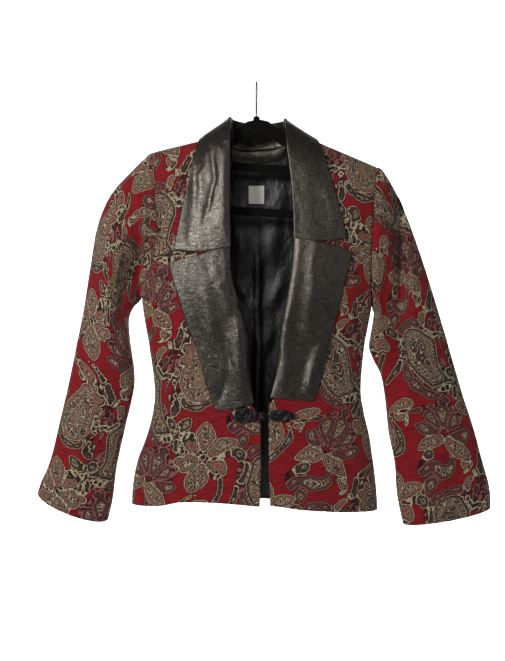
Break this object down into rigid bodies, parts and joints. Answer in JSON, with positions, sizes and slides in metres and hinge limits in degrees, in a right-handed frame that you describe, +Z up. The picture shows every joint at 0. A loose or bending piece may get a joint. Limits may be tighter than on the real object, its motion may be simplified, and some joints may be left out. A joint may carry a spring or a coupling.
{
  "type": "brocade blazer on a hanger",
  "caption": "Fitted hip-length blazer in figured brocade with a wide taffeta collar and lapels and a corded frog, hanging on a flat velvet hanger.",
  "frame": {"origin": "top of the inside of the hook, where a rail holds the hanger", "axes": "+Z up, +Y towards the back of the blazer, +X towards the wearer's left"},
  "size_m": [0.7474, 0.111, 0.7291],
  "materials": {
    "brocade": "figured woven brocade, crimson ground with taupe, brown and cream motifs",
    "taffeta": "crisp charcoal taffeta with a soft sheen",
    "satin_lining": "black satin",
    "label_tape": "plain blank woven tape",
    "braided_cord": "black braided rayon cord",
    "flocking": "black flocked velvet over plastic",
    "steel": "polished steel wire"
  },
  "bodies": {
    "root": {"front_right": "brocade", "side_front_right": "brocade", "front_left": "brocade", "side_front_left": "brocade", "back": "brocade", "sleeve_right": "brocade", "sleeve_left": "brocade", "lapel_right": "taffeta", "lapel_left": "taffeta", "collar": "taffeta", "collar_stand": "taffeta", "neck_facing": "taffeta", "lining_back": "satin_lining", "label": "label_tape", "frog_right": "braided_cord", "frog_left": "braided_cord", "frog_knot": "braided_cord", "hanger": "flocking", "hanger_neck": "flocking", "hanger_hook": "steel"}
  },
  "joints": []
}
